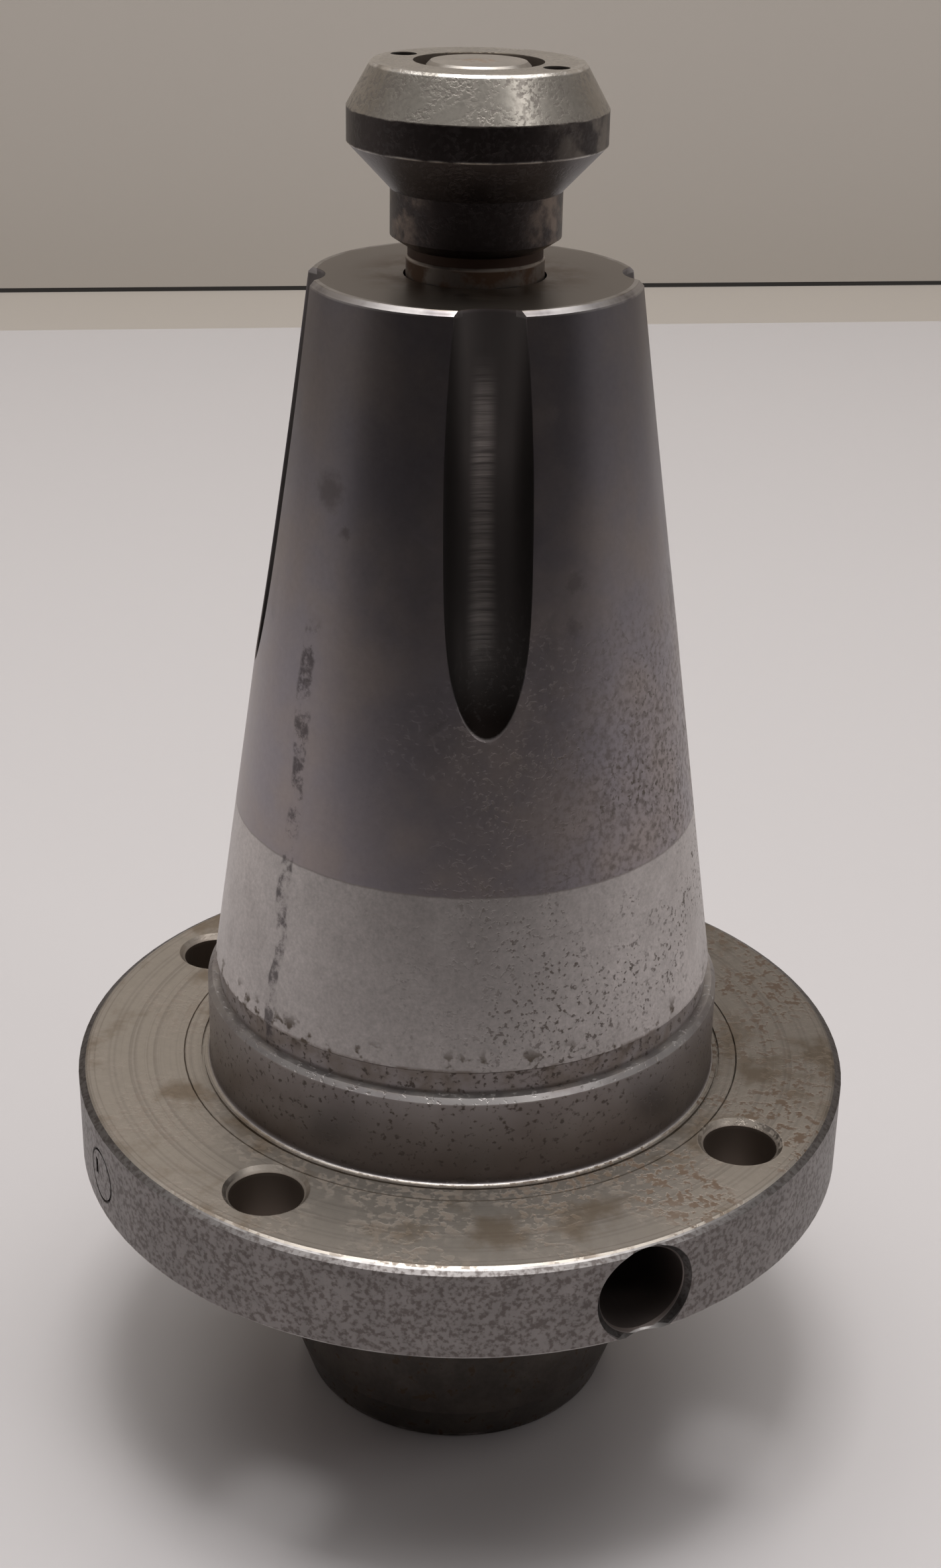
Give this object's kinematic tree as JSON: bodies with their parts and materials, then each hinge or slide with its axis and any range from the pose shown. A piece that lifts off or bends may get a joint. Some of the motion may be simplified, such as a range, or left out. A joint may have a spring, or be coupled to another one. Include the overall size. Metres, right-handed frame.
{
  "type": "collet chuck holder",
  "caption": "Steep-taper collet chuck holder: fluted cone shank, round drilled flange, pull knob on top, collet and nose nut below.",
  "frame": {"origin": "centre of the nose nut's front face, which is the face the holder stands on", "axes": "+Z along the holder's axis, from the nose nut towards the pull knob"},
  "size_m": [0.105, 0.105, 0.1825],
  "materials": {
    "ground_steel": "ground, stained and pitted",
    "knob_steel": "turned",
    "stud_steel": "turned, rust-stained",
    "plug_steel": "ground flush",
    "collet_steel": "hardened and ground",
    "nut_steel": "blackened"
  },
  "bodies": {
    "holder": {"holder_body": "ground_steel", "rim_plug": "plug_steel", "draw_stud": "stud_steel", "pull_knob": "knob_steel"},
    "back_stop": {"stop_screw": "stud_steel"},
    "collet_unit": {"collet": "collet_steel", "thrust_ring": "collet_steel"},
    "nut": {"nose_nut": "nut_steel", "ring_clip": "stud_steel"}
  },
  "joints": [
    {"name": "collet_slide", "type": "slide", "parent": "holder", "child": "collet_unit", "axis": [0, 0, -1], "range_m": [0, 0.003]},
    {"name": "nut_turn", "type": "hinge", "parent": "collet_unit", "child": "nut", "pos_m": [0, 0, 0], "axis": [0, 0, -1], "range_deg": [0, 720]},
    {"name": "stop_travel", "type": "slide", "parent": "holder", "child": "back_stop", "axis": [0, 0, 1], "range_m": [0, 0.008]}
  ],
  "couplings": [
    {"joint": "nut_turn", "follows": "collet_slide", "rad_per_m": 4188.8}
  ]
}
